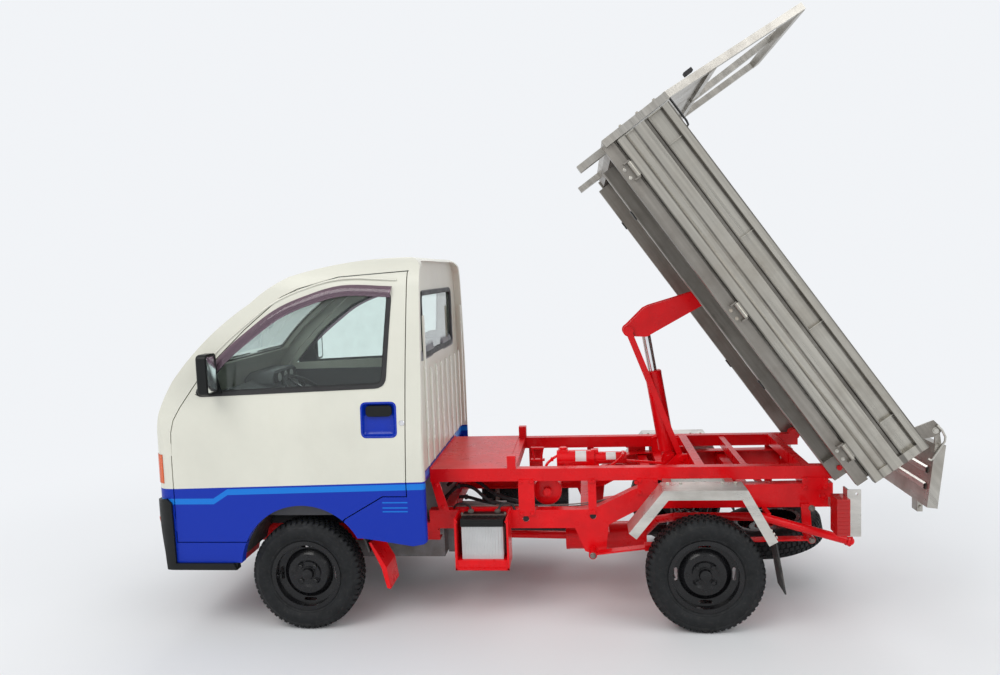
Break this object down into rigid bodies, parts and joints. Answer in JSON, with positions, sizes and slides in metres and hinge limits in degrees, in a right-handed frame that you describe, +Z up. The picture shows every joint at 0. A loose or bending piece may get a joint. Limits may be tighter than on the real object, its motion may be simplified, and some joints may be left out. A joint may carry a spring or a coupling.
{
  "type": "tipping kei truck",
  "caption": "Cab-over kei truck with a tipping bed on a lever hoist, drop side gates and a top-hung tailgate; the bed is raised and the tailgate hangs open.",
  "frame": {"origin": "bottom centre of the whole truck's bounding box, on the ground, with the bed raised", "axes": "+X towards the cab's nose, +Y to the truck's left, +Z up"},
  "size_m": [3.6492, 1.624, 2.8472],
  "materials": {
    "cream_paint": "glossy cream-white paint",
    "blue_paint": "glossy deep blue paint",
    "red_paint": "glossy bright red paint",
    "floor_paint": "satin grey paint",
    "bed_metal": "bare warm-grey sheet steel, lightly scuffed",
    "bare_steel": "dull bare steel",
    "black_steel": "satin black paint",
    "cast_metal": "dull cast metal",
    "rod_chrome": "polished hard chrome",
    "black_plastic": "matt black plastic",
    "grey_plastic": "matt grey plastic",
    "orange_lens": "clear orange lens",
    "red_lens": "clear red lens",
    "lamp_glass": "clear fluted lamp glass",
    "glass": "clear faintly green window glass",
    "rubber": "black rubber sheet",
    "tyre": "black tyre rubber",
    "seat_cloth": "grey woven seat cloth"
  },
  "bodies": {
    "chassis": {"battery": "grey_plastic", "battery_tray": "red_paint", "bumper": "black_plastic", "cab_back": "cream_paint", "cab_floor": "floor_paint", "cab_front": "blue_paint", "cab_glass": "glass", "cab_roof": "cream_paint", "dashboard": "grey_plastic", "engine_block": "cast_metal", "exhaust": "bare_steel", "frame_cross_members": "red_paint", "frame_rails": "red_paint", "front_axle": "black_steel", "fuel_tank": "black_steel", "headlamps": "lamp_glass", "leaf_springs": "black_steel", "mud_flaps": "rubber", "power_unit": "black_steel", "rear_axle": "black_steel", "rear_fenders": "bed_metal", "seat_backs": "seat_cloth", "seat_cushions": "seat_cloth", "spare_wheel": "tyre", "splash_guards": "red_paint", "subframe_deck": "red_paint", "subframe_rails": "red_paint", "tail_brackets": "bed_metal", "tail_lamps": "red_lens", "turn_lamps": "orange_lens", "windscreen_frame": "cream_paint"},
    "door_left": {"door_left": "cream_paint", "door_glass_left": "glass", "mirror_left": "black_plastic"},
    "door_right": {"door_right": "cream_paint", "door_glass_right": "glass", "mirror_right": "black_plastic"},
    "bed": {"bed_floor": "bed_metal", "bed_sills": "red_paint", "headboard": "bed_metal"},
    "gate_left": {"side_gate_left": "bed_metal"},
    "gate_right": {"side_gate_right": "bed_metal"},
    "tailgate": {"tailgate": "bed_metal"},
    "lift_arm": {"lift_arm": "red_paint"},
    "tension_link": {"tension_link": "red_paint"},
    "lift_cylinder": {"lift_cylinder": "red_paint"},
    "lift_rod": {"lift_rod": "rod_chrome"},
    "knuckle_left": {"knuckle_left": "black_steel"},
    "knuckle_right": {"knuckle_right": "black_steel"},
    "steering_wheel": {"steering_wheel": "black_plastic"},
    "wheel_front_left": {"rim_front_left": "black_steel", "tyre_front_left": "tyre"},
    "wheel_front_right": {"rim_front_right": "black_steel", "tyre_front_right": "tyre"},
    "wheel_rear_left": {"rim_rear_left": "black_steel", "tyre_rear_left": "tyre"},
    "wheel_rear_right": {"rim_rear_right": "black_steel", "tyre_rear_right": "tyre"}
  },
  "joints": [
    {"name": "bed_tilt", "type": "hinge", "parent": "chassis", "child": "bed", "pos_m": [-1.43474, 0, 0.716], "axis": [0, -1, 0], "range_deg": [-54.8, 0]},
    {"name": "arm_swing", "type": "hinge", "parent": "bed", "child": "lift_arm", "pos_m": [-0.87388, 0, 1.53189], "axis": [0, 1, 0], "range_deg": [-73.52, 0]},
    {"name": "link_swing", "type": "hinge", "parent": "chassis", "child": "tension_link", "pos_m": [-0.74974, 0, 0.684], "axis": [0, -1, 0], "range_deg": [-69.31, 0]},
    {"name": "cylinder_swing", "type": "hinge", "parent": "chassis", "child": "lift_cylinder", "pos_m": [-0.69074, 0, 0.68], "axis": [0, -1, 0], "range_deg": [-83.81, 0]},
    {"name": "rod_slide", "type": "slide", "parent": "lift_cylinder", "child": "lift_rod", "axis": [0.1556, 0, 0.9878], "range_m": [-0.10548, 0]},
    {"name": "tailgate_hang", "type": "hinge", "parent": "bed", "child": "tailgate", "pos_m": [-1.78125, 0, 0.92739], "axis": [0, 1, 0], "range_deg": [-48.03, 40]},
    {"name": "gate_left_fold", "type": "hinge", "parent": "bed", "child": "gate_left", "pos_m": [-0.94038, 0.686, 1.49314], "axis": [-0.5764, 0, -0.8171], "range_deg": [0, 170]},
    {"name": "gate_right_fold", "type": "hinge", "parent": "bed", "child": "gate_right", "pos_m": [-0.94038, -0.686, 1.49314], "axis": [0.5764, 0, 0.8171], "range_deg": [0, 170]},
    {"name": "door_left_swing", "type": "hinge", "parent": "chassis", "child": "door_left", "pos_m": [1.71726, 0.696, 0.8], "axis": [0, 0, -1], "range_deg": [0, 65]},
    {"name": "door_right_swing", "type": "hinge", "parent": "chassis", "child": "door_right", "pos_m": [1.71726, -0.696, 0.8], "axis": [0, 0, 1], "range_deg": [0, 65]},
    {"name": "steer_left", "type": "hinge", "parent": "chassis", "child": "knuckle_left", "pos_m": [1.10026, 0.56, 0.268], "axis": [0, 0, 1], "range_deg": [-33, 33]},
    {"name": "steer_right", "type": "hinge", "parent": "chassis", "child": "knuckle_right", "pos_m": [1.10026, -0.56, 0.268], "axis": [0, 0, 1], "range_deg": [-33.1, 33.1]},
    {"name": "steering_turn", "type": "hinge", "parent": "chassis", "child": "steering_wheel", "pos_m": [1.38526, -0.33, 1], "axis": [-0.6074, 0, 0.7944], "range_deg": [-331, 331]},
    {"name": "spin_front_left", "type": "hinge", "parent": "knuckle_left", "child": "wheel_front_left", "pos_m": [1.10026, 0.607, 0.268], "axis": [0, 1, 0], "continuous": true},
    {"name": "spin_front_right", "type": "hinge", "parent": "knuckle_right", "child": "wheel_front_right", "pos_m": [1.10026, -0.607, 0.268], "axis": [0, 1, 0], "continuous": true},
    {"name": "spin_rear_left", "type": "hinge", "parent": "chassis", "child": "wheel_rear_left", "pos_m": [-0.78474, 0.607, 0.268], "axis": [0, 1, 0], "continuous": true},
    {"name": "spin_rear_right", "type": "hinge", "parent": "chassis", "child": "wheel_rear_right", "pos_m": [-0.78474, -0.607, 0.268], "axis": [0, 1, 0], "continuous": true}
  ],
  "couplings": [
    {"joint": "arm_swing", "follows": "bed_tilt", "ratio": 1.3407},
    {"joint": "link_swing", "follows": "bed_tilt", "ratio": 1.2639},
    {"joint": "cylinder_swing", "follows": "bed_tilt", "ratio": 1.5285},
    {"joint": "rod_slide", "follows": "bed_tilt", "m_per_rad": 0.11018},
    {"joint": "steer_right", "follows": "steer_left", "ratio": 1},
    {"joint": "steering_turn", "follows": "steer_left", "ratio": 10}
  ]
}
